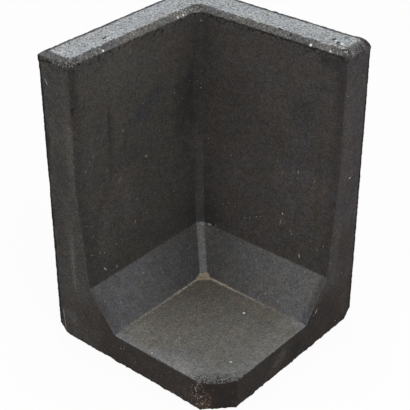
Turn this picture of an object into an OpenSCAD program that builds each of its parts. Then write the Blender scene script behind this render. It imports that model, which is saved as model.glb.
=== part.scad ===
// Corner L-shaped retaining wall element, cast in one piece from dark concrete.
// Two upright walls meet at a right angle and stand on one square footing slab.
// Millimetres, +Z up. The origin is at the middle of the footprint, on the ground.
// The back wall runs along X with its outer face towards +Y, and the side wall
// runs along Y with its outer face towards +X. The earth-fill space opens to -X and -Y.

/* [Element] */
// Overall height from the underside of the footing to the top of the walls
element_h = 600; // [450:10:1000]
// Length of the back wall, over the outer face of the side wall
back_l = 410; // [320:10:700]
// Length of the side wall, over the outer face of the back wall
side_l = 410; // [320:10:700]

/* [Walls] */
// Thickness of both walls in their upper, parallel part
wall_t = 72; // [50:1:110]
// Extra thickness that the walls gain from the start of the batter to the haunch
batter = 19; // [4:1:35]
// Height at which the inner faces start to thicken
batter_top_z = 342; // [200:2:400]

/* [Footing] */
// Thickness of the footing slab
foot_t = 64; // [40:2:90]
// Height of the sloping haunch above the footing
haunch_h = 78; // [20:2:100]
// Width of the sloping haunch, out from the foot of each wall
haunch_w = 62; // [20:2:90]
// Legs of the corner cut off the footing, opposite to where the walls meet
foot_cut = 48; // [10:1:120]

/* [Edges] */
// Legs of the chamfer along the inner top edge of both walls
rim_chamfer = 11; // [3:1:20]
// Length of the chamfer at the free end of each wall, measured along the wall
end_chamfer_l = 18; // [3:1:30]
// Drop of the chamfer at the free end of each wall
end_chamfer_h = 11; // [3:1:20]
// Legs of the fillet strip in the upright corner between the inner faces
inner_fillet = 11; // [3:1:30]
// Legs of the chamfer on the upright corner where the outer faces meet
outer_chamfer = 10; // [2:1:25]
// Legs of the small arris along the outer top edges
outer_arris = 3; // [1:0.5:8]
// Legs of the chamfer along the heel, below both outer faces
heel_chamfer = 18; // [4:1:30]

/* [Hidden] */

concrete = "#3d3c3a";

// Outer faces, measured from the origin
outer_x = back_l / 2;
outer_y = side_l / 2;

// A length that reaches past the whole element in any direction
reach = element_h + back_l + side_l;

// Heights and thicknesses along the inner outline of a wall
haunch_top_z = foot_t + haunch_h;
root_t = wall_t + batter;
toe_t = root_t + haunch_w;

// The outline of the fill space is drawn from a wall's outer face at u = 0, inwards
// along -u. Widening it by sqrt(2) gives the same outline along the plan's diagonal,
// and set_in moves it away from the walls.
function fill_outline(widen, set_in) = [
    [-reach, foot_t],
    [-widen * toe_t - set_in, foot_t],
    [-widen * root_t - set_in, haunch_top_z],
    [-widen * wall_t - set_in, batter_top_z],
    [-widen * wall_t - set_in, element_h - rim_chamfer],
    [-widen * (wall_t - 2 * rim_chamfer) - set_in, element_h + rim_chamfer],
    [-reach, element_h + rim_chamfer],
];

// End view of a wall: heel chamfer, outer arris and the chamfer at the free end
function end_outline(wall_l) = [
    [-wall_l, 0],
    [-heel_chamfer, 0],
    [0, heel_chamfer],
    [0, element_h - outer_arris],
    [-outer_arris, element_h],
    [end_chamfer_l - wall_l, element_h],
    [-wall_l, element_h - end_chamfer_h],
];

// Stands an outline upright, u = 0 at the outer corner and +u pointing along turn
module upright(outline, turn) {
    translate([outer_x, outer_y, 0])
        rotate([90, 0, turn])
            linear_extrude(height = reach, center = true)
                polygon(outline);
}

// Slices a corner off the plan: legs of the given length at corner, turn pointing inwards
module corner_slice(corner, turn, legs) {
    translate(corner)
        rotate(turn)
            translate([legs / sqrt(2) - reach, -reach / 2, -reach / 2])
                cube([reach, reach, 2 * reach]);
}

// The square block that the mould encloses, with all of its outer edges cut
module outer_block() {
    difference() {
        intersection() {
            upright(end_outline(back_l), 0);
            upright(end_outline(side_l), 90);
        }
        corner_slice([outer_x, outer_y, 0], 225, outer_chamfer);
        corner_slice([-outer_x, -outer_y, 0], 45, foot_cut);
    }
}

// The core that forms the fill space between the walls and above the footing
module fill_core() {
    intersection() {
        upright(fill_outline(1, 0), 0);
        upright(fill_outline(1, 0), 90);
        upright(fill_outline(sqrt(2), inner_fillet / sqrt(2)), 45);
    }
}

module corner_wall() {
    color(concrete)
        difference() {
            outer_block();
            fill_core();
        }
}

corner_wall();
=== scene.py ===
"""Looks of a corner retaining wall element, cast in one piece from dark concrete.

Two upright walls stand on one footing slab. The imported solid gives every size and
place; this file gives the casting its worn arrises, chips, pores and colours, and
sets up the floor, the light and the camera.
"""

import logging
import math
import random
from dataclasses import dataclass, field
from enum import Enum
from typing import Any

import bpy
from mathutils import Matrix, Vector, kdtree


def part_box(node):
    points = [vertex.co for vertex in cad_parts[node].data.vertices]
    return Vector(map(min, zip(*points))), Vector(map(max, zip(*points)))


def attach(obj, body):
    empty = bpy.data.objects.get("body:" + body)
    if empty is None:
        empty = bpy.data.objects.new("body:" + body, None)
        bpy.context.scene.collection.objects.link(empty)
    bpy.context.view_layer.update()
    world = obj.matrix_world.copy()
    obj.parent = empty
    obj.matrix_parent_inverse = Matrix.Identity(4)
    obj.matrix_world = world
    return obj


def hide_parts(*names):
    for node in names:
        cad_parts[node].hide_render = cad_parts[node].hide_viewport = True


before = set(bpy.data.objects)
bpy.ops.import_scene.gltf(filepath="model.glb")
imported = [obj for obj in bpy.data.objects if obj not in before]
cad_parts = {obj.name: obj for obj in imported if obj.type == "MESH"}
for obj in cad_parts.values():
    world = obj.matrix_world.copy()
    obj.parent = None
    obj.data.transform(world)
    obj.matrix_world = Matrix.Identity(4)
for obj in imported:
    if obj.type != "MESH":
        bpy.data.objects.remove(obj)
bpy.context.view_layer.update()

LOG = logging.getLogger("corner_wall")
NODE = "corner_wall"
BASE_COLOUR = "#413e3a"
WEAR = "arris_wear"
MM = 0.001

MATHS = "ShaderNodeMath"
VECTOR = "ShaderNodeVectorMath"
RANGE = "ShaderNodeMapRange"
NOISE = "ShaderNodeTexNoise"
CELLS = "ShaderNodeTexVoronoi"
SPLIT = "ShaderNodeSeparateXYZ"
SPLIT_COLOUR = "ShaderNodeSeparateColor"
PLACE = "ShaderNodeTexCoord"
MIX = "ShaderNodeMix"
# The inputs of a mix node that mixes colours, and the settings that make it one.
SHARE, UNDER, OVER = 0, 6, 7
AS_COLOUR = {"give": 2, "data_type": "RGBA"}
# A smooth step stays between its ends without a clamp.
SMOOTH = {"interpolation_type": "SMOOTHSTEP", "clamp": False}
# The fourth axis picks one noise out of many.
PICKED = {"noise_dimensions": "4D"}

Socket = bpy.types.NodeSocket
Point = tuple[float, float, float]
Feeds = dict[int | str, Any]


# ---------------------------------------------------------------- small helpers


def linear(hex_colour: str) -> tuple[float, float, float, float]:
    """Turns an sRGB hex colour into Blender's linear colour.

    Args:
        hex_colour: colour as "#rrggbb".

    Returns:
        Linear red, green and blue, and full opacity.
    """
    channels = []
    for start in (1, 3, 5):
        value = int(hex_colour[start : start + 2], 16) / 255
        low = value / 12.92
        high = ((value + 0.055) / 1.055) ** 2.4
        channels.append(low if value <= 0.04045 else high)
    return (channels[0], channels[1], channels[2], 1.0)


def add_node(
    tree: bpy.types.NodeTree,
    kind: str,
    feeds: Feeds | None = None,
    give: int | str = 0,
    **settings: Any,
) -> Socket | None:
    """Adds one shader node with its settings and links.

    Args:
        tree: node tree that takes the node.
        kind: node type, such as "ShaderNodeMix".
        feeds: for each input, by name or index: an output to link, a hex colour or a constant.
        give: name or index of the output that is wanted.
        **settings: attributes of the node itself.

    Returns:
        The wanted output, or None for a node that has none.
    """
    node = tree.nodes.new(kind)
    for name, value in settings.items():
        setattr(node, name, value)
    for key, feed in (feeds or {}).items():
        if isinstance(feed, Socket):
            tree.links.new(feed, node.inputs[key])
        else:
            node.inputs[key].default_value = linear(feed) if isinstance(feed, str) else feed
    return node.outputs[give] if node.outputs else None


def empty_tree(owner: bpy.types.Material | bpy.types.World) -> bpy.types.NodeTree:
    """Gives a material or a world a node tree with nothing in it."""
    owner.use_nodes = True
    owner.node_tree.nodes.clear()
    return owner.node_tree


def deselect_all() -> None:
    """Leaves nothing selected, in object mode."""
    if bpy.context.object and bpy.context.object.mode != "OBJECT":
        bpy.ops.object.mode_set(mode="OBJECT")
    bpy.ops.object.select_all(action="DESELECT")


def make_active(piece: bpy.types.Object) -> None:
    """Selects one object alone and makes it active."""
    deselect_all()
    piece.select_set(True)
    bpy.context.view_layer.objects.active = piece


def apply_modifier(piece: bpy.types.Object, kind: str, **settings: Any) -> None:
    """Adds a modifier with its settings to a piece and applies it.

    Args:
        piece: object that is changed.
        kind: modifier type, such as "DISPLACE".
        **settings: attributes of the modifier.
    """
    make_active(piece)
    modifier = piece.modifiers.new(kind.lower(), kind)
    for name, value in settings.items():
        setattr(modifier, name, value)
    bpy.ops.object.modifier_apply(modifier=modifier.name)


# ---------------------------------------------------------------- the casting's sizes


@dataclass(frozen=True)
class WallProfile:
    """Sizes of the casting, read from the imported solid, in metres.

    Heights count from the ground: foot is the footing's top, haunch_top the haunch's
    upper edge and rim the lower edge of the bevel along the wall tops. wall and toe are
    depths behind a wall's outer face: of its inner face and of the haunch's lower edge.
    cut_start is how far behind that face the footing's end is cut off. end_bevel is how
    far the level top stays off a free end, and top_corner the two depths added up where
    its inner edges meet.
    """

    half_x: float
    half_y: float
    height: float
    wall: float
    toe: float
    foot: float
    haunch_top: float
    rim: float
    cut_start: float
    end_bevel: float
    top_corner: float

    @property
    def left(self) -> float:
        """X of the back wall's free end."""
        return -self.half_x

    @property
    def front(self) -> float:
        """Y of the side wall's free end."""
        return -self.half_y

    @property
    def inner_x(self) -> float:
        """X of the side wall's inner face."""
        return self.half_x - self.wall

    @property
    def inner_y(self) -> float:
        """Y of the back wall's inner face."""
        return self.half_y - self.wall

    @property
    def cut(self) -> float:
        """The depths behind both outer faces, added up, at the cut front corner."""
        return 2 * self.half_x + self.cut_start

    @property
    def bevel(self) -> float:
        """Height of the bevel between a wall's top and its inner face."""
        return self.height - self.rim

    @property
    def top_left(self) -> float:
        """X where the level part of the back wall's top starts."""
        return self.left + self.end_bevel

    @property
    def top_front(self) -> float:
        """Y where the level part of the side wall's top starts."""
        return self.front + self.end_bevel

    @classmethod
    def from_node(cls, name: str) -> "WallProfile":
        """Reads the outline of the back wall's free end.

        Args:
            name: the CAD node.

        Returns:
            The sizes that the finishes and the wear need.
        """
        low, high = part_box(name)
        touch = 0.1 * MM
        smallest = 30 * MM
        outline = set()
        rim_edge = []
        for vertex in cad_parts[name].data.vertices:
            if high.z - vertex.co.z < touch:
                rim_edge.append((vertex.co.x - low.x, high.x - vertex.co.x, high.y - vertex.co.y))
            depth = high.y - vertex.co.y
            on_end = vertex.co.x - low.x < touch
            if on_end and depth > smallest and vertex.co.z > smallest:
                outline.add((round(vertex.co.z, 4), round(depth, 4)))
        inner = [
            behind + beside for _, behind, beside in rim_edge if min(behind, beside) > smallest
        ]
        cut, toe, root, _, top = sorted(outline, key=lambda corner: (corner[0], -corner[1]))
        return cls(
            half_x=high.x,
            half_y=high.y,
            height=high.z,
            wall=top[1],
            toe=toe[1],
            foot=toe[0],
            haunch_top=root[0],
            rim=top[0],
            cut_start=cut[1],
            end_bevel=min(along for along, _, _ in rim_edge),
            top_corner=min(inner),
        )


# ---------------------------------------------------------------- the casting's shape


class Grit(Enum):
    """How broken a surface is: random offset of its points as a share of the radius."""

    SMOOTH = 0.0
    BROKEN = 0.16
    CRUMBLED = 0.26


@dataclass(frozen=True)
class Lump:
    """A rounded lump of concrete that is missing from the casting or swells out of it.

    at is its middle and radii are its half sizes along X, Y and Z, all in metres;
    turn is its turn about the upright axis in degrees.
    """

    at: Point
    radii: Point
    grit: Grit = Grit.BROKEN
    turn: float = 0.0


@dataclass
class Casting:
    """The whole element: walls, haunches and footing slab in one piece.

    waves, grain, nibble and crumble are each the depth and the size of a noise pattern;
    nibble works on the arrises alone and crumble on those that stand on the ground.
    """

    profile: WallProfile
    voxel: float = 2.0 * MM
    most_triangles: int = 180_000
    nick_spacing: float = 110 * MM
    nick_radius: tuple[float, float] = (1.4 * MM, 3.0 * MM)
    arris_reach: float = 6 * MM
    waves: tuple[float, float] = (0.5 * MM, 110 * MM)
    grain: tuple[float, float] = (0.2 * MM, 6 * MM)
    nibble: tuple[float, float] = (0.9 * MM, 7 * MM)
    crumble: tuple[float, float] = (2.3 * MM, 14 * MM)
    silt_reach: float = 20 * MM
    silt_rise: float = 2.5 * MM
    arris_angle: float = 20.0
    crumbs: int = 6
    ball_steps: int = 3
    seed: int = 7
    piece: bpy.types.Object | None = field(default=None, init=False)

    def build(self) -> bpy.types.Object:
        """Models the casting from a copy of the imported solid.

        Returns:
            The finished object, at the origin, with its place in its mesh.
        """
        self._copy_solid()
        arrises = self._arrises()
        self._add_silt()
        self._combine(self._swellings(), "UNION")
        self._combine(self._damage() + self._nicks(arrises), "DIFFERENCE")
        self._refine()
        self._roughen(arrises)
        self._thin_out()
        self._keep_inside()
        self._mark_arrises(arrises)
        make_active(self.piece)
        bpy.ops.object.shade_smooth()
        return self.piece

    def dress(self, finish: "PigmentedConcrete") -> None:
        """Gives the casting its concrete finish."""
        self.piece.data.materials.clear()
        self.piece.data.materials.append(finish.material())

    def _copy_solid(self) -> None:
        """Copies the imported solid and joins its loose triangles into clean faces."""
        make_active(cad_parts[NODE])
        bpy.ops.object.duplicate()
        self.piece = bpy.context.object
        self.piece.name = "cast_corner_wall"
        self.piece.data.name = "cast_corner_wall"
        for key in list(self.piece.keys()):
            del self.piece[key]
        self.piece.parent = None
        bpy.ops.object.mode_set(mode="EDIT")
        bpy.ops.mesh.select_all(action="SELECT")
        bpy.ops.mesh.remove_doubles(threshold=0.01 * MM)
        bpy.ops.mesh.dissolve_limited(angle_limit=math.radians(0.5))
        bpy.ops.object.mode_set(mode="OBJECT")

    def _arrises(self) -> list[tuple[Vector, Vector]]:
        """Finds the outward edges of the casting.

        Returns:
            The two ends of each edge where the faces turn outwards by more than arris_angle.
        """
        mesh = self.piece.data
        sides: dict[tuple[int, int], list[bpy.types.MeshPolygon]] = {}
        for face in mesh.polygons:
            for key in face.edge_keys:
                sides.setdefault(key, []).append(face)
        found = []
        for (first, second), faces in sides.items():
            if len(faces) != 2:
                continue
            one, other = faces
            turned = one.normal.angle(other.normal) > math.radians(self.arris_angle)
            outward = (other.center - one.center).dot(one.normal) < 0
            if turned and outward:
                found.append((mesh.vertices[first].co.copy(), mesh.vertices[second].co.copy()))
        return found

    def _swellings(self) -> list[Lump]:
        """Lists where the cast is fuller than its straight bevels.

        Returns:
            The rounded ends of the two wall tops and the full end of the side wall's rim.
        """
        p = self.profile
        right_end = (p.half_x - 5 * MM, p.front + 26 * MM, p.height - 14 * MM)
        left_end = (p.left + 15 * MM, p.half_y, p.height - 10 * MM)
        rim_end = (p.inner_x + 6 * MM, p.front + 14 * MM, p.rim - 1 * MM)
        return [
            Lump(right_end, (30 * MM, 26.5 * MM, 14 * MM), Grit.SMOOTH),
            Lump(left_end, (20 * MM, 45 * MM, 8 * MM), Grit.SMOOTH),
            Lump(rim_end, (6.2 * MM, 17 * MM, 6.5 * MM), Grit.SMOOTH),
        ]

    def _damage(self) -> list[Lump]:
        """Lists the larger chips, worn places and pits that this element has.

        Returns:
            Missing lumps at the wall tops, the free upright edges and the front of the footing.
        """
        p = self.profile
        left, front, top = p.left, p.front, p.height
        side = 2 * p.half_x - p.cut_start
        middle = side / 2 - 1 * MM
        off_end = left - 1 * MM
        outer_edge = Lump((off_end, p.half_y + 2 * MM, 0.335), (3.5 * MM, 4 * MM, 24 * MM))
        foot_side = (
            Lump((off_end, front + 50 * MM, 18 * MM), (4 * MM, 11 * MM, 9 * MM), Grit.CRUMBLED),
            Lump((off_end, front + 42 * MM, 42 * MM), (3 * MM, 7 * MM, 7 * MM), Grit.CRUMBLED),
        )
        arcs = (
            Lump((-0.086, 0.1585, top + 0.4 * MM), (7 * MM, 3.5 * MM, 2 * MM)),
            Lump((0.157, -0.170, top + 0.4 * MM), (5 * MM, 8 * MM, 2 * MM)),
        )
        lip_at = (left + middle, front + middle, p.foot + 4 * MM)
        worn_lip = Lump(lip_at, (30 * MM, 9 * MM, 7.5 * MM), turn=-45)
        lumps = [outer_edge, *foot_side, *arcs, worn_lip]
        rng = random.Random(self.seed + 1)
        for _ in range(self.crumbs):
            drop = rng.uniform(0, 11) * MM
            along = rng.uniform(0, 22) * MM
            inward = rng.uniform(-2, 8) * MM
            size = rng.uniform(1.6, 3.2) * MM
            left_at = (left + along, p.inner_y + inward, top - drop)
            right_at = (p.inner_x + inward, front + along, top - drop)
            lumps.extend(Lump(at, (size, size, size), Grit.CRUMBLED) for at in (left_at, right_at))
        return lumps

    def _nicks(self, arrises: list[tuple[Vector, Vector]]) -> list[Lump]:
        """Scatters small nicks along the arrises.

        Args:
            arrises: the two ends of each outward edge.

        Returns:
            One small missing lump for about every nick_spacing of edge.
        """
        rng = random.Random(self.seed)
        nicks = []
        for start, end in arrises:
            count = int((end - start).length / self.nick_spacing + rng.random())
            along = (end - start).normalized()
            for _ in range(count):
                spot = start.lerp(end, rng.random())
                radius = rng.uniform(*self.nick_radius)
                radii = tuple(radius * (1 + 1.2 * abs(part) * rng.random()) for part in along)
                lift = radius * rng.uniform(0.2, 0.6)
                away = Vector((spot.x, spot.y, spot.z - 0.5 * self.profile.height)).normalized()
                nicks.append(Lump(tuple(spot + away * lift), radii))
        return nicks

    def _combine(self, lumps: list[Lump], operation: str) -> None:
        """Adds lumps to the casting or takes them out of it.

        Args:
            lumps: the rounded lumps.
            operation: "UNION" adds them and "DIFFERENCE" takes them out.
        """
        balls = []
        for number, lump in enumerate(lumps):
            deselect_all()
            bpy.ops.mesh.primitive_ico_sphere_add(
                subdivisions=self.ball_steps,
                radius=1,
                location=lump.at,
                rotation=(0, 0, math.radians(lump.turn)),
                scale=lump.radii,
            )
            if lump.grit is not Grit.SMOOTH:
                bpy.ops.object.mode_set(mode="EDIT")
                bpy.ops.mesh.select_all(action="SELECT")
                offset = min(lump.radii) * lump.grit.value
                bpy.ops.transform.vertex_random(offset=offset, seed=number, normal=0.6)
                bpy.ops.object.mode_set(mode="OBJECT")
            balls.append(bpy.context.object)
        deselect_all()
        for ball in balls:
            ball.select_set(True)
        bpy.context.view_layer.objects.active = balls[0]
        bpy.ops.object.join()
        tool = bpy.context.object
        apply_modifier(
            self.piece, "BOOLEAN", operation=operation, object=tool, solver="EXACT", use_self=True
        )
        bpy.data.objects.remove(tool)

    def _add_silt(self) -> None:
        """Lays the low fan of washed-in sand where the two haunches meet the footing."""
        p = self.profile
        buried = 2 * MM
        depth = self.silt_rise + buried
        deselect_all()
        bpy.ops.mesh.primitive_cone_add(
            vertices=32,
            radius1=self.silt_reach * (1 + buried / self.silt_rise),
            radius2=0,
            depth=depth,
            location=(p.half_x - p.toe, p.half_y - p.toe, p.foot - buried + depth / 2),
        )
        fan = bpy.context.object
        apply_modifier(self.piece, "BOOLEAN", operation="UNION", object=fan, solver="EXACT")
        bpy.data.objects.remove(fan)

    def _refine(self) -> None:
        """Turns the casting into an even fine mesh, which also eases its arrises."""
        size = self.voxel
        apply_modifier(self.piece, "REMESH", mode="VOXEL", voxel_size=size, use_smooth_shade=True)

    def _near_arris(self, arrises: list[tuple[Vector, Vector]]) -> list[float]:
        """Measures how near each vertex lies to an arris.

        Args:
            arrises: the two ends of each outward edge.

        Returns:
            One share for each vertex: 1 on an arris, 0 at arris_reach and beyond.
        """
        step = 2 * MM
        points = []
        for start, end in arrises:
            count = max(2, int((end - start).length / step))
            points.extend(start.lerp(end, i / count) for i in range(count + 1))
        tree = kdtree.KDTree(len(points))
        for index, point in enumerate(points):
            tree.insert(point, index)
        tree.balance()
        shares = []
        for vertex in self.piece.data.vertices:
            distance = tree.find(vertex.co)[2]
            shares.append(max(0.0, 1 - distance / self.arris_reach))
        return shares

    def _group(self, name: str, weights: list[float]) -> None:
        """Stores vertex weights in a named group of the piece.

        Args:
            name: the group's name.
            weights: one weight for each vertex.
        """
        group = self.piece.vertex_groups.new(name=name)
        steps = 20
        rounded: dict[int, list[int]] = {}
        for index, weight in enumerate(weights):
            rounded.setdefault(round(weight * steps), []).append(index)
        for level, members in rounded.items():
            if level > 0:
                group.add(members, level / steps, "REPLACE")

    def _roughen(self, arrises: list[tuple[Vector, Vector]]) -> None:
        """Gives the faces a slight unevenness and nibbles the arrises.

        Args:
            arrises: the two ends of each outward edge.
        """
        near = self._near_arris(arrises)
        self._group("arris", near)
        bed = 0.3 * self.profile.foot
        low = [share if v.co.z < bed else 0.0 for share, v in zip(near, self.piece.data.vertices)]
        self._group("bed_arris", low)
        self._sink("formwork_waves", self.waves, detail=1)
        self._sink("sand_grain", self.grain, detail=3)
        self._sink("arris_nibble", self.nibble, detail=2, group="arris")
        self._sink("bed_crumble", self.crumble, detail=3, group="bed_arris")
        self._keep_inside()

    def _sink(self, name: str, noise: tuple[float, float], detail: int, group: str = "") -> None:
        """Sinks the surface by a noise pattern.

        Args:
            name: name of the pattern.
            noise: the deepest that it sinks and the pattern's size, in metres.
            detail: how many finer layers the pattern has.
            group: vertex group that limits it, or an empty string for all.
        """
        depth, size = noise
        pattern = bpy.data.textures.new(name, "CLOUDS")
        pattern.noise_scale = size
        pattern.noise_depth = detail
        pattern.contrast = 2.0 if group else 1.0
        apply_modifier(
            self.piece,
            "DISPLACE",
            texture=pattern,
            texture_coords="LOCAL",
            strength=depth,
            mid_level=1.0,
            vertex_group=group,
        )

    def _keep_inside(self) -> None:
        """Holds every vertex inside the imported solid's box."""
        low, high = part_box(NODE)
        for vertex in self.piece.data.vertices:
            for axis in range(3):
                vertex.co[axis] = min(max(vertex.co[axis], low[axis]), high[axis])

    def _thin_out(self) -> None:
        """Joins triangles on the flat faces until the piece is light enough."""
        triangles = sum(len(face.vertices) - 2 for face in self.piece.data.polygons)
        if triangles > self.most_triangles:
            ratio = self.most_triangles / triangles
            apply_modifier(self.piece, "DECIMATE", decimate_type="COLLAPSE", ratio=ratio)

    def _mark_arrises(self, arrises: list[tuple[Vector, Vector]]) -> None:
        """Stores how near the arrises each vertex lies, for the finish.

        Args:
            arrises: the two ends of each outward edge.
        """
        wear = self.piece.data.attributes.new(WEAR, "FLOAT", "POINT")
        wear.data.foreach_set("value", self._near_arris(arrises))


# ---------------------------------------------------------------- where colours lie


class Measure(Enum):
    """A distance or direction on the casting by which a coat of colour is limited."""

    ALONG_BACK = "x"
    ALONG_SIDE = "y"
    HEIGHT = "z"
    BEHIND_SIDE = "depth behind the side wall's outer face"
    BEHIND_BACK = "depth behind the back wall's outer face"
    NEAREST = "the smaller of the two depths"
    BOTH = "the two depths together"
    OFF_DIAGONAL = "difference of the two depths"
    FACES_SIDE = "x of the surface direction"
    FACES_BACK = "y of the surface direction"
    FACES_UP = "z of the surface direction"
    FACES_OUT = "the larger of x and y of the surface direction"
    ARRIS = "nearness to an arris"
    WANDER = "slow noise about zero"


class Pattern(Enum):
    """How a coat of colour covers its zone."""

    EVEN = "all over"
    CLOUDY = "in soft clouds"
    PITTED = "in single coarse pits"
    GRAINY = "on half of the sand grains"
    SPECKLED = "on a quarter of the sand grains"
    SPARSE = "on single sand grains"


@dataclass(frozen=True)
class Limit:
    """Where a coat ends along one measure.

    none is the value where nothing of the coat is left and full where all of it shows;
    ragged is how far the border wanders, in metres.
    """

    measure: Measure
    none: float
    full: float
    ragged: float = 0.0

    @classmethod
    def past(
        cls, measure: Measure, line: float, none_mm: float, full_mm: float, ragged_mm: float = 0.0
    ) -> "Limit":
        """Makes a limit from distances past a line of the casting.

        Args:
            measure: the distance or direction that ends the coat.
            line: where the line lies, in metres.
            none_mm: how far past the line nothing is left, in millimetres.
            full_mm: how far past the line all of it shows.
            ragged_mm: how far the border wanders.

        Returns:
            The limit.
        """
        return cls(measure, line + none_mm * MM, line + full_mm * MM, ragged_mm * MM)


UPRIGHT = Limit(Measure.FACES_UP, 0.35, 0.20)
SLOPING = Limit(Measure.FACES_UP, 0.35, 0.50)
BELOW_LEVEL = Limit(Measure.FACES_UP, 0.95, 0.86)
LEVEL = Limit(Measure.FACES_UP, 0.80, 0.92)
INSIDE = Limit(Measure.FACES_OUT, 0.20, 0.05)


@dataclass(frozen=True)
class Patch:
    """A rounded place on the surface, such as a stain, a smear or a scratch.

    at is its middle and radii are its half sizes along X, Y and Z before it is turned,
    all in metres; turn holds three angles in radians; core is the share of the radius
    inside which the coat is full.
    """

    at: Point
    radii: Point
    turn: Point = (0.0, 0.0, 0.0)
    core: float = 0.2

    @classmethod
    def stroke(cls, start: Point, end: Point, half_width: float) -> "Patch":
        """Makes a long thin patch between two points.

        Args:
            start: one end, in metres.
            end: the other end.
            half_width: half the width, in metres.

        Returns:
            The patch.
        """
        run = Vector(end) - Vector(start)
        middle = (Vector(start) + Vector(end)) / 2
        turn = run.to_track_quat("X", "Z").to_euler()
        return cls(tuple(middle), (run.length / 2, half_width, half_width), tuple(turn), 0.5)


@dataclass(frozen=True)
class Coat:
    """One coat of colour on the concrete and where it lies."""

    colour: str
    strength: float = 1.0
    limits: tuple[Limit, ...] = ()
    pattern: Pattern = Pattern.EVEN
    patch: Patch | None = None


# ---------------------------------------------------------------- the concrete's finish


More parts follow.
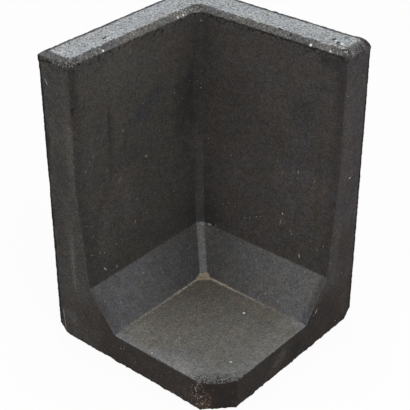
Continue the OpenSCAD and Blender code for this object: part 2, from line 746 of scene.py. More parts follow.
@dataclass
class PigmentedConcrete:
    """Cast concrete, dyed through with black iron oxide and struck from a steel mould.

    To the eye it is a dull charcoal with a brown cast, cloudy where the cement skin is
    thicker, with pale sand grains showing through. The trowelled tops are much paler
    because cement milk rose there, and dust has settled on every face that looks up.
    Real sand grains are 1 to 2 mm wide. They are drawn 2.3 to 3 mm wide so that they
    show, and the air pits and the flecks of mineral colour 6 mm wide.

    A field that ends in _mm is the size of one grain, pit or cloud of its pattern. A
    contrast is how much lighter and darker the pattern makes the colour. A wander is
    how far slow noise shifts the border of a limit or a patch.
    """

    profile: WallProfile
    base: str
    coats: tuple[Coat, ...]
    veils: tuple[Coat, ...]
    roughness: float = 0.86
    ior: float = 1.45
    grain_mm: float = 2.3
    stone_mm: float = 2.8
    speckle_mm: float = 3.0
    relief_mm: float = 3.68
    pit_mm: float = 6.0
    tint_mm: float = 6.0
    pore_mm: float = 7.0
    blotch_mm: float = 15.0
    slow_mm: float = 28.0
    warmth_mm: float = 40.0
    cloud_mm: float = 75.0
    grain_contrast: float = 0.50
    stone_contrast: float = 0.18
    blotch_contrast: float = 0.14
    cloud_contrast: float = 0.10
    tint_contrast: float = 0.30
    limit_wander: float = 4.0
    patch_wander: float = 1.6
    relief: float = 0.6 * MM
    tree: bpy.types.NodeTree = field(init=False)
    measures: dict[Measure, Socket] = field(init=False)
    patterns: dict[Pattern, Socket] = field(init=False)

    def material(self) -> bpy.types.Material:
        """Builds the concrete's node tree.

        Returns:
            The finished material.
        """
        material = bpy.data.materials.new("black_pigmented_cast_concrete")
        self.tree = empty_tree(material)
        self.measures = self._measure()
        self.patterns = self._pattern()
        colour = self._lay(self.base, self.coats)
        colour = self._tone(colour)
        colour = self._lay(colour, self.veils)
        colour = self._speckle(colour)
        surface = {
            "Base Color": colour,
            "Normal": self._bump(),
            "Roughness": self.roughness,
            "IOR": self.ior,
        }
        shader = self._add("ShaderNodeBsdfPrincipled", surface)
        self._add("ShaderNodeOutputMaterial", {"Surface": shader})
        return material

    def _add(
        self, kind: str, feeds: Feeds | None = None, give: int | str = 0, **settings: Any
    ) -> Socket:
        """Adds one node to the concrete's own tree, just as add_node does."""
        return add_node(self.tree, kind, feeds, give, **settings)

    def _measure(self) -> dict[Measure, Socket]:
        """Adds the distances and directions that limit the coats.

        Returns:
            One output for each measure.
        """
        at = self._add(PLACE, give="Object")
        x = self._add(SPLIT, {0: at})
        y, z = x.node.outputs[1], x.node.outputs[2]
        facing = self._add("ShaderNodeNewGeometry", give="Normal")
        nx = self._add(SPLIT, {0: facing})
        ny, nz = nx.node.outputs[1], nx.node.outputs[2]
        a = self._add(MATHS, {0: self.profile.half_x, 1: x}, operation="SUBTRACT")
        b = self._add(MATHS, {0: self.profile.half_y, 1: y}, operation="SUBTRACT")
        gap = self._add(MATHS, {0: a, 1: b}, operation="SUBTRACT")
        drift = {"Vector": at, "Scale": 1 / (self.slow_mm * MM), "Detail": 3.0, "Roughness": 0.6}
        slow = self._add(NOISE, drift)
        return {
            Measure.ALONG_BACK: x,
            Measure.ALONG_SIDE: y,
            Measure.HEIGHT: z,
            Measure.BEHIND_SIDE: a,
            Measure.BEHIND_BACK: b,
            Measure.NEAREST: self._add(MATHS, {0: a, 1: b}, operation="MINIMUM"),
            Measure.BOTH: self._add(MATHS, {0: a, 1: b}, operation="ADD"),
            Measure.OFF_DIAGONAL: self._add(MATHS, {0: gap}, operation="ABSOLUTE"),
            Measure.FACES_SIDE: nx,
            Measure.FACES_BACK: ny,
            Measure.FACES_UP: nz,
            Measure.FACES_OUT: self._add(MATHS, {0: nx, 1: ny}, operation="MAXIMUM"),
            Measure.ARRIS: self._add("ShaderNodeAttribute", give="Fac", attribute_name=WEAR),
            Measure.WANDER: self._add(MATHS, {0: slow, 1: 0.5}, operation="SUBTRACT"),
        }

    def _pattern(self) -> dict[Pattern, Socket]:
        """Adds the patterns in which a coat can cover its zone.

        Returns:
            One output from 0 to 1 for each pattern but the even one.
        """
        at = self._add(PLACE, give="Object")
        # For each noise: which one is picked, its size and its detail.
        kinds = ((2.0, self.warmth_mm, 4.0), (3.0, self.pit_mm, 1.0), (4.0, self.speckle_mm, 1.0))
        noises = []
        for pick, size_mm, detail in kinds:
            grains = {"Vector": at, "W": pick, "Scale": 1 / (size_mm * MM), "Detail": detail}
            noises.append(self._add(NOISE, grains, **PICKED))
        cloud, pits, sand = noises
        # For each pattern: its noise and the values where it is 0 and 1.
        bands = {
            Pattern.CLOUDY: (cloud, 0.40, 0.60),
            Pattern.PITTED: (pits, 0.57, 0.62),
            Pattern.GRAINY: (sand, 0.46, 0.54),
            Pattern.SPECKLED: (sand, 0.46, 0.39),
            Pattern.SPARSE: (sand, 0.59, 0.66),
        }
        return {
            pattern: self._add(RANGE, {"Value": noise, "From Min": low, "From Max": high}, **SMOOTH)
            for pattern, (noise, low, high) in bands.items()
        }

    def _lay(self, colour: Socket | str, coats: tuple[Coat, ...]) -> Socket:
        """Lays coats of colour over each other.

        Args:
            colour: colour under the coats.
            coats: the coats, undermost first.

        Returns:
            The colour on top.
        """
        for coat in coats:
            share = self._share(coat)
            colour = self._add(MIX, {SHARE: share, UNDER: colour, OVER: coat.colour}, **AS_COLOUR)
        return colour

    def _share(self, coat: Coat) -> Socket | float:
        """Works out how much of a coat shows at each point.

        Args:
            coat: the coat and its limits.

        Returns:
            Its share, from 0 to its strength.
        """
        share: Socket | float = coat.strength
        for limit in coat.limits:
            value = self.measures[limit.measure]
            if limit.ragged:
                value = self._wander(value, self.limit_wander * limit.ragged)
            ends = {"Value": value, "From Min": limit.none, "From Max": limit.full, "To Max": share}
            share = self._add(RANGE, ends, **SMOOTH)
        if coat.patch:
            reach = self._wander(self._reach(coat.patch), self.patch_wander)
            ends = {"Value": reach, "From Min": 1.0, "From Max": coat.patch.core, "To Max": share}
            share = self._add(RANGE, ends, **SMOOTH)
        if coat.pattern is not Pattern.EVEN:
            grains = self.patterns[coat.pattern]
            share = self._add(MATHS, {0: share, 1: grains}, operation="MULTIPLY")
        return share

    def _wander(self, value: Socket, amount: float) -> Socket:
        """Shifts a value to and fro by slow noise.

        Args:
            value: what is shifted.
            amount: how far the whole range of the noise shifts it.

        Returns:
            The shifted value.
        """
        shift = {0: self.measures[Measure.WANDER], 1: amount, 2: value}
        return self._add(MATHS, shift, operation="MULTIPLY_ADD")

    def _reach(self, patch: Patch) -> Socket:
        """Works out how far out in a patch each point lies.

        Args:
            patch: the rounded place.

        Returns:
            The distance from its middle: 0 there and 1 at its border.
        """
        at = self._add(PLACE, give="Object")
        turn = {"Vector": at, "Center": patch.at, "Rotation": patch.turn}
        turned = self._add("ShaderNodeVectorRotate", turn, rotation_type="EULER_XYZ", invert=True)
        shrink = tuple(1 / radius for radius in patch.radii)
        shift = tuple(-middle / radius for middle, radius in zip(patch.at, patch.radii))
        ball = self._add(VECTOR, {0: turned, 1: shrink, 2: shift}, operation="MULTIPLY_ADD")
        return self._add(VECTOR, {0: ball}, "Value", operation="LENGTH")

    def _tone(self, colour: Socket) -> Socket:
        """Makes the colour lighter and darker by clouds, blotches, stones and sand grains.

        Args:
            colour: colour so far.

        Returns:
            The toned colour.
        """
        at = self._add(PLACE, give="Object")
        clouds = self.patterns[Pattern.CLOUDY]
        warm = self._add(MIX, {SHARE: clouds, UNDER: "#fffcf8", OVER: "#f8faff"}, **AS_COLOUR)
        flecks = {"Vector": at, "W": 9.0, "Scale": 1 / (self.tint_mm * MM), "Detail": 2.0}
        minerals = self._add(NOISE, flecks, "Color", **PICKED)
        faded = {SHARE: self.tint_contrast, UNDER: "#ffffff", OVER: minerals}
        tint = self._add(MIX, faded, **AS_COLOUR)
        for dye in (warm, tint):
            dyed = {SHARE: 1.0, UNDER: colour, OVER: dye}
            colour = self._add(MIX, dyed, **AS_COLOUR, blend_type="MULTIPLY")
        # For each layer: which noise is picked, its size, its detail and its contrast.
        layers = (
            (5.0, self.cloud_mm, 3.0, self.cloud_contrast),
            (6.0, self.blotch_mm, 2.0, self.blotch_contrast),
            (7.0, self.grain_mm, 2.0, self.grain_contrast),
        )
        # It starts above 1 to give back what the mineral tint takes on average.
        tone: Socket | float = 1 / (1 - self.tint_contrast / 2)
        for pick, size_mm, detail, contrast in layers:
            grains = {"Vector": at, "W": pick, "Scale": 1 / (size_mm * MM), "Detail": detail}
            tone = self._vary(tone, self._add(NOISE, grains, **PICKED), (0.3, 0.7), contrast)
        stones = self._add(CELLS, {"Vector": at, "Scale": 1 / (self.stone_mm * MM)}, "Color")
        chance = self._add(SPLIT_COLOUR, {0: stones}, 1)
        tone = self._vary(tone, chance, (0.0, 1.0), self.stone_contrast)
        return self._add("ShaderNodeHueSaturation", {"Color": colour, "Value": tone})

    def _vary(
        self, tone: Socket | float, pattern: Socket, span: tuple[float, float], contrast: float
    ) -> Socket:
        """Makes a tone darker where a pattern is low and lighter where it is high.

        Args:
            tone: factor on the colour's brightness so far.
            pattern: the pattern.
            span: the lowest and the highest value that the pattern comes to.
            contrast: how much is taken and added at most.

        Returns:
            The varied factor.
        """
        low, high = span
        ends = {"Value": pattern, "From Min": low, "From Max": high}
        layer = self._add(RANGE, {**ends, "To Min": 1 - contrast, "To Max": 1 + contrast})
        return self._add(MATHS, {0: layer, 1: tone}, operation="MULTIPLY")

    def _speckle(self, colour: Socket) -> Socket:
        """Scatters single pale grains and small dark pores over the whole surface.

        Args:
            colour: colour so far.

        Returns:
            The speckled colour.
        """
        at = self._add(PLACE, give="Object")
        # For each kind: spacing in mm, size as a share of it, rarity, colour and strength.
        kinds = (
            (6.0, 0.16, 0.78, "#8b857b", 0.5),
            (11.0, 0.11, 0.80, "#bdb7ab", 0.8),
            (8.0, 0.15, 0.66, "#191716", 0.65),
        )
        for spacing_mm, size, rarity, tint, strength in kinds:
            near = self._add(CELLS, {"Vector": at, "Scale": 1 / (spacing_mm * MM)})
            chance = self._add(SPLIT_COLOUR, {0: near.node.outputs["Color"]})
            rare = {"Value": chance, "From Min": rarity, "From Max": rarity + 0.05}
            share = self._add(RANGE, {**rare, "To Max": strength})
            rounded = {"Value": near, "From Min": size, "From Max": 0.6 * size, "To Max": share}
            share = self._add(RANGE, rounded)
            colour = self._add(MIX, {SHARE: share, UNDER: colour, OVER: tint}, **AS_COLOUR)
        return colour

    def _bump(self) -> Socket:
        """Gives the fine relief of sand grains and pores, too small for the mesh.

        Returns:
            The bumped normal.
        """
        at = self._add(PLACE, give="Object")
        sand = self._add(NOISE, {"Vector": at, "Scale": 1 / (self.relief_mm * MM), "Detail": 4.0})
        near = self._add(CELLS, {"Vector": at, "Scale": 1 / (self.pore_mm * MM)})
        pore = self._add(RANGE, {"Value": near, "From Min": 0.16, "From Max": 0.05, "To Max": -0.6})
        height = self._add(MATHS, {0: sand, 1: pore}, operation="ADD")
        bump = {"Height": height, "Strength": 0.6, "Distance": self.relief}
        return self._add("ShaderNodeBump", bump)


# ---------------------------------------------------------------- how this element weathered


def face_coats(p: WallProfile) -> tuple[Coat, ...]:
    """Lists the colours of the faces, by how each was cast and what settled on it, with painted
    shade and light.

    Args:
        p: sizes of the casting.

    Returns:
        The coats, undermost first.
    """
    left_end = Limit.past(Measure.ALONG_BACK, p.left, 3, 1)
    right_end = Limit.past(Measure.ALONG_SIDE, p.front, 3, 1)
    level = Limit(Measure.FACES_UP, 0.86, 0.95)
    left_haunch = Limit(Measure.FACES_BACK, -0.25, -0.50)
    right_haunch = Limit(Measure.FACES_SIDE, -0.25, -0.50)
    raised = Limit.past(Measure.HEIGHT, p.rim, -2, 1)
    low_end_shade = Limit.past(Measure.HEIGHT, p.foot, 70, 10, 20)
    past_toe = Limit.past(Measure.BEHIND_BACK, p.toe, -72, -16, 12)
    diagonal = Limit(Measure.FACES_OUT, -0.20, -0.36)
    outward = Limit(Measure.OFF_DIAGONAL, 0.0, 240 * MM, 9 * MM)
    low_corner_shade = Limit(Measure.OFF_DIAGONAL, 100 * MM, 10 * MM, 12 * MM)
    next_to_corner = Limit(Measure.OFF_DIAGONAL, 60 * MM, 10 * MM, 9 * MM)
    high_corner_shade = Limit(Measure.OFF_DIAGONAL, 70 * MM, 10 * MM, 9 * MM)
    high_up = Limit(Measure.HEIGHT, 0.30, 0.48)
    upper_crease_shade = Limit(Measure.HEIGHT, 0.24, 0.42)
    haunch_crest = Limit(Measure.HEIGHT, p.foot + 20 * MM, p.haunch_top, 9 * MM)
    above_haunch = Limit(Measure.HEIGHT, 0.30, 0.15, 12 * MM)
    past_middle = Limit.past(Measure.BOTH, 2 * p.toe, 10, 290, 9)
    at_front = Limit(Measure.BOTH, 2 * p.toe + 250 * MM, p.cut, 9 * MM)
    off_rim = Limit.past(Measure.NEAREST, p.wall - p.bevel, 0.8, -0.8, 0.6)
    off_corner = Limit.past(Measure.BOTH, p.top_corner, 1, -1, 0.6)
    trowelled = (
        raised,
        Limit.past(Measure.ALONG_BACK, p.top_left, -1, 1, 0.8),
        Limit.past(Measure.ALONG_SIDE, p.top_front, -1, 1, 0.8),
        Limit(Measure.FACES_UP, 0.55, 0.75),
    )
    rim = (raised, Limit(Measure.FACES_UP, 0.25, 0.50))
    return (
        # Darker towards the bottom.
        Coat("#3b3835", limits=(Limit(Measure.HEIGHT, 0.46, 0.22, 15 * MM),)),
        Coat("#44403d", limits=(Limit(Measure.BEHIND_SIDE, 110 * MM, 96 * MM),)),
        # Painted shade: the walls darker next to the inner corner, low down and high up.
        Coat("#2b2827", 0.85, (low_corner_shade, above_haunch)),
        Coat("#373431", 0.55, (high_corner_shade, high_up)),
        # Painted shade in the upper part of the crease between the two walls.
        Coat("#2a2726", 0.60, (diagonal, upper_crease_shade)),
        Coat("#3f3d3b", 0.70, (diagonal, above_haunch)),
        Coat("#464340", limits=(left_end,)),
        Coat("#413d3d", limits=(right_end,)),
        # Painted shade: the free ends darker low down, by the ground.
        Coat("#443f3b", limits=(left_end, low_end_shade)),
        Coat("#352f2a", limits=(left_end, low_end_shade, past_toe)),
        Coat("#2d2723", limits=(right_end, low_end_shade)),
        Coat("#28211d", limits=(Limit.past(Measure.BOTH, p.cut, -3, -1),)),
        Coat("#4a4744", limits=(Limit(Measure.FACES_OUT, 0.50, 0.80),)),
        # The haunches are darker towards the inner corner and paler away from it: painted shade.
        Coat("#343233", limits=(SLOPING,)),
        Coat("#525253", limits=(SLOPING, outward)),
        # Painted light: the right haunch is lighter than the left.
        Coat("#3f3d3b", limits=(SLOPING, right_haunch)),
        Coat("#5f5e5d", limits=(SLOPING, right_haunch, outward)),
        Coat("#413e3a", 0.6, (SLOPING, left_haunch, next_to_corner, haunch_crest)),
        Coat("#565450", 0.6, (SLOPING, right_haunch, next_to_corner, haunch_crest)),
        Coat("#666866", limits=(SLOPING, diagonal)),
        # The footing's top is darker near the back corner and paler towards the front.
        Coat("#4d4740", limits=(level,)),
        Coat("#696761", limits=(level, past_middle)),
        Coat("#757674", limits=(level, at_front)),
        Coat("#666563", limits=rim),
        Coat("#acb1b5", limits=trowelled + (off_rim,)),
        Coat("#acb1b5", limits=trowelled + (off_corner,)),
        Coat("#4a4744", limits=(Limit(Measure.FACES_UP, -0.30, -0.60),)),
    )


def edge_coats(p: WallProfile) -> tuple[Coat, ...]:
    """Lists the lines and bands along the edges and in the creases, some of them painted shade.

    Args:
        p: sizes of the casting.

    Returns:
        The coats, undermost first.
    """
    faces_up = Limit(Measure.FACES_UP, 0.30, 0.55)
    on_haunch = Limit.past(Measure.HEIGHT, p.haunch_top, -10, -45)
    on_foot = Limit.past(Measure.HEIGHT, p.foot, 20, 12)
    near_foot = Limit.past(Measure.HEIGHT, p.foot, 4, 2)
    faces_front = Limit(Measure.FACES_BACK, -0.80, -0.95)
    faces_left = Limit(Measure.FACES_SIDE, -0.80, -0.95)
    off_left_end = Limit.past(Measure.ALONG_BACK, p.left, 1, 3)
    off_right_end = Limit.past(Measure.ALONG_SIDE, p.front, 1, 3)
    crease_in = Limit.past(Measure.NEAREST, p.toe, -3, -1, 0.5)
    crease_out = Limit.past(Measure.NEAREST, p.toe, 2.4, 0.6, 0.6)
    left_crease = (
        Limit.past(Measure.BEHIND_SIDE, p.toe, 0, 20),
        Limit.past(Measure.ALONG_BACK, p.left, -20, 60),
    )
    right_crease = (
        Limit.past(Measure.BEHIND_BACK, p.toe, 0, 20),
        Limit(Measure.ALONG_SIDE, p.front + 10 * MM, 0.0, 6 * MM),
    )
    crease = (faces_up, crease_in, crease_out, near_foot)
    left_edge = Limit.past(Measure.ALONG_BACK, p.left, 28, 5, 5)
    right_edge = Limit.past(Measure.ALONG_SIDE, p.front, 55, 5, 5)
    left_tip = Limit.past(Measure.ALONG_BACK, p.left, 26, 7, 3)
    right_tip = Limit.past(Measure.ALONG_SIDE, p.front, 26, 7, 3)
    left_margin = Limit.past(Measure.ALONG_BACK, p.left, 34, 10, 3)
    right_margin = Limit.past(Measure.ALONG_SIDE, p.front, 32, 8, 3)
    corner = (p.half_x - p.toe, p.half_y - p.toe, p.foot + 1 * MM)
    fan = Patch(corner, (23 * MM, 23 * MM, 6 * MM), core=0.8)
    fan_front = Limit.past(Measure.BOTH, 2 * p.toe, 24, 19, 2)
    by_fan = Limit(Measure.OFF_DIAGONAL, 150 * MM, 30 * MM, 6 * MM)
    front_band = Limit.past(Measure.BOTH, p.cut, -46, -4, 4)
    front_lip = Limit.past(Measure.BOTH, p.cut, -15, -2, 4)
    easing = Limit(Measure.FACES_UP, 0.70, 0.55)
    left_rim = Limit(Measure.FACES_BACK, -0.30, -0.60)
    right_rim = Limit(Measure.FACES_SIDE, -0.30, -0.60)
    # Painted shade: a dark line just under the rim bevel on the inner faces, fading near the inner
    # corner.
    rim_shade_line = (
        easing,
        INSIDE,
        Limit(Measure.OFF_DIAGONAL, 10 * MM, 60 * MM, 6 * MM),
        Limit.past(Measure.HEIGHT, p.rim, -4, -2, 2),
        Limit(Measure.HEIGHT, p.rim + 2 * MM, p.rim, 0.8 * MM),
    )
    high_up = Limit(Measure.HEIGHT, 0.43, 0.54, 12 * MM)
    # Painted shade: a dark line along the outer upright arrises of the free ends.
    outer_arris_shade = (
        Limit(Measure.NEAREST, 8.0 * MM, 6.5 * MM, 1.5 * MM),
        Limit(Measure.FACES_OUT, 0.90, 0.75),
        Limit(Measure.FACES_UP, 0.80, 0.60),
    )
    left_ease = Limit.past(Measure.ALONG_BACK, p.left, 14, 3, 5)
    right_ease = Limit.past(Measure.ALONG_SIDE, p.front, 20, 4, 6)
    tilted = Limit(Measure.FACES_UP, 0.15, 0.35)
    off_foot = Limit.past(Measure.HEIGHT, p.foot, 15, 35)
    front_edge = Limit(Measure.FACES_UP, 0.35, 0.60)
    return (
        Coat("#2f2d2b", 0.55, (UPRIGHT, faces_front, left_margin, off_left_end)),
        Coat("#2e2b2a", 0.45, (UPRIGHT, faces_left, right_margin, off_right_end)),
        Coat("#2b2827", 0.50, (UPRIGHT, faces_left, right_margin, off_right_end, high_up)),
        # Painted shade under the rim, weaker on the back wall than on the side wall.
        Coat("#1b1918", 0.30, rim_shade_line + (left_rim,), Pattern.GRAINY),
        Coat("#1b1918", 0.50, rim_shade_line + (right_rim,)),
        Coat("#0c0b0a", 0.85, rim_shade_line + (right_rim,), Pattern.GRAINY),
        Coat("#45464c", 0.80, (SLOPING, BELOW_LEVEL, left_tip, on_haunch)),
        Coat("#44454b", 0.85, (SLOPING, BELOW_LEVEL, right_tip, on_haunch)),
        Coat("#403d3c", 0.90, (tilted, BELOW_LEVEL, left_ease, off_foot)),
        Coat("#403c3b", 0.90, (tilted, BELOW_LEVEL, right_ease, off_foot)),
        Coat("#86888a", 0.60, (LEVEL, on_foot, left_edge)),
        Coat("#7b7c7b", 0.25, (LEVEL, on_foot, right_edge)),
        Coat("#85817a", 0.55, crease + left_crease),
        Coat("#93887c", 0.75, crease + right_crease),
        Coat("#c2b4a4", 0.65, crease + (by_fan,), Pattern.GRAINY),
        Coat("#90846f", limits=(Limit(Measure.FACES_UP, 0.55, 0.75), fan_front), patch=fan),
        Coat("#4a4b4d", 0.50, (front_edge, on_foot, front_band)),
        Coat("#2a2928", 0.75, (front_edge, on_foot, front_lip)),
        # Painted shade on the outer arrises.
        Coat("#0f0d0c", 0.90, outer_arris_shade),
    )


def veils(p: WallProfile) -> tuple[Coat, ...]:
    """Lists the thin veils of dust and the fine specks that lie over the grain, and some painted
    shade.

    Args:
        p: sizes of the casting.

    Returns:
        The coats, undermost first.
    """
    raised = Limit.past(Measure.HEIGHT, p.rim, -2, 1)
    on_foot = Limit.past(Measure.HEIGHT, p.foot, 20, 12)
    on_haunch = Limit.past(Measure.HEIGHT, p.haunch_top, 6, 2)
    top = (
        raised,
        Limit.past(Measure.NEAREST, p.wall - p.bevel, 2, -1, 1),
        Limit.past(Measure.ALONG_BACK, p.top_left, -2, 2, 1),
        Limit.past(Measure.ALONG_SIDE, p.top_front, -2, 2, 1),
        LEVEL,
    )
    rim = (raised, Limit(Measure.FACES_UP, 0.30, 0.55), BELOW_LEVEL)
    # Painted shade: dark pits in a band under the rim bevel.
    under_rim_shade = (
        Limit(Measure.FACES_UP, 0.65, 0.50),
        INSIDE,
        Limit.past(Measure.HEIGHT, p.rim, -16, -4, 3),
        Limit.past(Measure.HEIGHT, p.rim, 4, 1, 1),
    )
    front = (
        Limit(Measure.FACES_UP, 0.35, 0.60),
        on_foot,
        Limit.past(Measure.BOTH, p.cut, -44, -12, 5),
    )
    wall_face = (UPRIGHT, INSIDE)
    # Painted shade: a dark line along the outer edge of the wall tops, away from the back wall's
    # free end.
    top_arris_shade = (
        Limit(Measure.NEAREST, 11.0 * MM, 9.5 * MM, 2.5 * MM),
        Limit.past(Measure.ALONG_BACK, p.left, 8, 22),
        Limit(Measure.FACES_UP, 0.20, 0.40),
        Limit.past(Measure.HEIGHT, p.rim, 0, 4),
    )
    foot_arris = (
        Limit(Measure.ARRIS, 0.45, 0.85),
        Limit(Measure.HEIGHT, p.foot, p.haunch_top),
    )
    return (
        Coat("#716e67", 0.20, (LEVEL, on_foot)),
        Coat("#555453", 0.15, (SLOPING, BELOW_LEVEL, on_haunch)),
        Coat("#a7a49b", 0.30, (LEVEL, on_foot), Pattern.SPARSE),
        Coat("#8b8b88", 0.20, (SLOPING, BELOW_LEVEL, on_haunch), Pattern.SPARSE),
        Coat("#1d1b1a", 0.20, wall_face, Pattern.PITTED),
        Coat("#aeb1b3", 0.40, top),
        Coat("#2c2c2b", 0.64, top, Pattern.SPECKLED),
        Coat("#4b4b4a", 0.08, top, Pattern.PITTED),
        Coat("#e0e3e4", 0.50, top, Pattern.SPARSE),
        Coat("#2b2a29", 0.50, rim, Pattern.SPECKLED),
        Coat("#1b1a19", 0.22, rim, Pattern.PITTED),
        Coat("#b0b1af", 0.40, rim, Pattern.SPARSE),
        # Painted shade under the rim, broken into pits.
        Coat("#0c0b0a", 0.85, under_rim_shade, Pattern.PITTED),
        Coat("#161514", 0.85, front, Pattern.SPECKLED),
        Coat("#121111", 0.55, front, Pattern.PITTED),
        Coat("#a8a9a8", 0.25, front, Pattern.SPARSE),
        Coat("#2b2826", 0.45, foot_arris, Pattern.SPECKLED),
        # Painted shade along the tops' outer edge.
        Coat("#1c1b1a", 0.60, top_arris_shade),
        Coat("#0c0b0b", 0.85, top_arris_shade, Pattern.GRAINY),
    )


def stains(p: WallProfile) -> tuple[Coat, ...]:
    """Lists the soft stains and tonal patches that the element has, and painted shade beside the
    inner corner.

    Args:
        p: sizes of the casting.

    Returns:
        The coats, undermost first.
    """
    left, front, inner_x, inner_y = p.left, p.front, p.inner_x, p.inner_y
    level = (Limit(Measure.FACES_UP, 0.80, 0.95),)
    soft = 0.1
    # For each patch: colour, share, middle, half sizes and, where it is turned, its turn.
    left_wall = (
        ("#474540", 0.7, (-0.095, inner_y, 0.535), (0.110, 0.02, 0.080), (0, -0.3, 0)),
        ("#313236", 0.7, (-0.010, inner_y, 0.455), (0.075, 0.02, 0.035), (0, -0.5, 0)),
        ("#2f2e30", 0.5, (-0.110, inner_y, 0.420), (0.016, 0.02, 0.100)),
        ("#474340", 0.7, (-0.085, inner_y, 0.285), (0.065, 0.04, 0.100)),
        ("#494643", 0.6, (-0.150, 0.124, 0.220), (0.030, 0.04, 0.060)),
        # The patches at x from 0.108 to 0.122 darken the wall next to the inner corner: painted
        # shade.
        ("#292726", 0.75, (0.108, inner_y, 0.415), (0.060, 0.03, 0.125)),
        ("#232121", 0.4, (0.114, inner_y, 0.275), (0.026, 0.03, 0.110)),
        ("#262422", 0.8, (-0.196, inner_y, 0.545), (0.014, 0.02, 0.070)),
        ("#2c242b", 0.8, (0.110, inner_y, 0.446), (0.020, 0.02, 0.055)),
        ("#2e2b2b", 0.5, (0.122, inner_y, 0.500), (0.010, 0.02, 0.110)),
        ("#5a5853", 0.6, (-0.094, 0.131, 0.324), (0.012, 0.01, 0.008)),
    )
    right_wall = (
        ("#4a4745", 0.6, (inner_x, -0.020, 0.515), (0.030, 0.065, 0.070)),
        ("#333131", 0.6, (inner_x, -0.125, 0.460), (0.030, 0.050, 0.060)),
        ("#4a4745", 0.7, (inner_x, -0.095, 0.260), (0.040, 0.045, 0.095)),
        ("#484545", 0.6, (inner_x, -0.110, 0.350), (0.040, 0.045, 0.150), (0.2, 0, 0)),
        ("#282628", 0.75, (inner_x, -0.168, 0.575), (0.020, 0.044, 0.022)),
        ("#333439", 0.4, (inner_x, -0.150, 0.520), (0.020, 0.026, 0.030)),
        ("#3d362d", 0.5, (inner_x, -0.165, 0.265), (0.040, 0.030, 0.090)),
        ("#3a3735", 0.6, (inner_x, 0.108, 0.215), (0.040, 0.035, 0.070)),
    )
    left_end = (
        ("#5f605c", 0.9, (left, 0.153, 0.190), (0.010, 0.013, 0.110), (-0.02, 0, 0)),
        ("#33302e", 0.6, (left, 0.190, 0.250), (0.010, 0.022, 0.090)),
        ("#383634", 0.6, (left, 0.170, 0.370), (0.010, 0.040, 0.075)),
        ("#56514b", 0.8, (left, 0.142, 0.440), (0.010, 0.013, 0.120)),
        ("#54534f", 0.7, (left, 0.170, 0.050), (0.010, 0.026, 0.034)),
        ("#191716", 0.7, (left, 0.197, 0.425), (0.010, 0.010, 0.060)),
        ("#4d4a46", 0.5, (left, 0.172, 0.150), (0.010, 0.030, 0.060)),
        ("#38322f", 0.6, (left, 0.115, 0.070), (0.010, 0.040, 0.045)),
        ("#3a302c", 0.5, (left, -0.060, 0.020), (0.010, 0.110, 0.030)),
    )
    right_end = (
        ("#4a4441", 0.7, (0.150, front, 0.440), (0.014, 0.010, 0.130)),
        ("#3a3535", 0.6, (0.186, front, 0.555), (0.018, 0.010, 0.035)),
        ("#38302c", 0.8, (0.170, front, 0.140), (0.055, 0.010, 0.140)),
        ("#4b443e", 0.6, (0.136, front, 0.200), (0.014, 0.010, 0.090)),
        ("#483f3a", 0.5, (0.178, front, 0.055), (0.024, 0.010, 0.045)),
        ("#1d1916", 0.4, (-0.112, front, 0.020), (0.030, 0.010, 0.020)),
    )
    footing = (
        ("#7a6a5d", 0.45, (0.034, -0.066, p.foot), (0.020, 0.070, 0.020)),
        ("#4d463e", 0.5, (0.015, 0.015, p.foot), (0.050, 0.050, 0.020)),
        ("#86837c", 0.5, (0.040, -0.168, p.foot), (0.026, 0.040, 0.020)),
        ("#9a9892", 0.6, (0.047, -0.196, p.foot), (0.010, 0.024, 0.020)),
        ("#83827c", 0.5, (-0.165, 0.030, p.foot), (0.040, 0.026, 0.020)),
        ("#5c5a56", 0.45, (-0.095, -0.130, p.foot), (0.075, 0.075, 0.020)),
        ("#87888b", 0.45, (-0.186, -0.105, p.foot), (0.036, 0.085, 0.020)),
    )
    top = (("#7f8284", 0.5, (0.162, -0.150, p.height), (0.040, 0.050, 0.020)),)
    zones = (
        ((), left_wall + right_wall + left_end + right_end + top),
        (level, footing),
    )
    return tuple(
        Coat(tint, share, limits, patch=Patch(at, radii, *turn, core=soft))
        for limits, patches in zones
        for tint, share, at, radii, *turn in patches
    )


